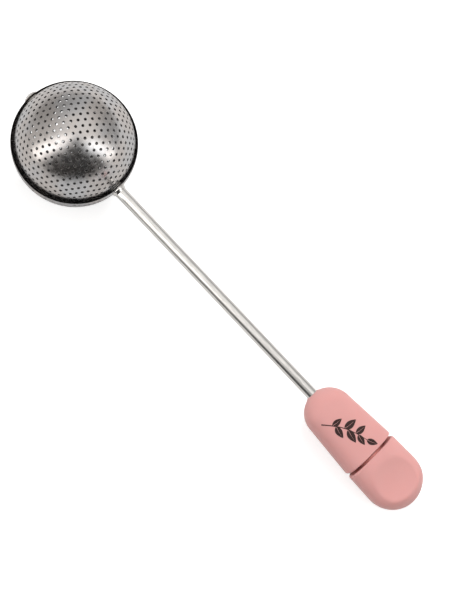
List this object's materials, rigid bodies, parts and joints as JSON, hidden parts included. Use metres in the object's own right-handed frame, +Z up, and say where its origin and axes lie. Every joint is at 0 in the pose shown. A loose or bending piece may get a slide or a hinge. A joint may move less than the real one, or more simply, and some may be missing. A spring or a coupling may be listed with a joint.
{
  "type": "tea infuser",
  "caption": "Perforated ball infuser on a slim stem; twisting the end knob turns the inner half shell to open the ball for loose tea.",
  "frame": {"origin": "on the table under the middle of the length, as the infuser lies at rest", "axes": "+X along the table from the ball to the knob, +Z up; the stem dips towards the knob by about five degrees"},
  "size_m": [0.1978, 0.045, 0.0439],
  "materials": {
    "shell_steel": "satin stainless steel, perforated",
    "stem_steel": "polished stainless steel",
    "inner_steel": "plain stainless steel",
    "bushing_plastic": "natural nylon",
    "core_plastic": "moulded plastic, satin",
    "soft_cover": "soft-touch pink, matte",
    "print_ink": "dark brown pad print"
  },
  "bodies": {
    "stem": {"fixed_shell": "shell_steel", "stem_tube": "stem_steel", "stem_collar": "stem_steel", "front_bushing": "bushing_plastic", "rear_bushing": "bushing_plastic", "pivot_rivet": "stem_steel", "pivot_spacer": "bushing_plastic", "pivot_tail_washer": "inner_steel", "grip_core": "core_plastic", "grip_cover": "soft_cover", "disc_spring": "inner_steel", "thrust_washer": "inner_steel", "stop_pin": "inner_steel"},
    "rotor": {"turning_shell": "shell_steel", "drive_rod": "inner_steel", "rod_cap": "inner_steel", "knob_core": "core_plastic", "knob_cover": "soft_cover", "knob_pin": "inner_steel"}
  },
  "joints": [
    {"name": "twist", "type": "hinge", "parent": "stem", "child": "rotor", "pos_m": [-0.07515, 0, 0.0225], "axis": [0.9955, 0, -0.0948], "range_deg": [0, 180]}
  ]
}
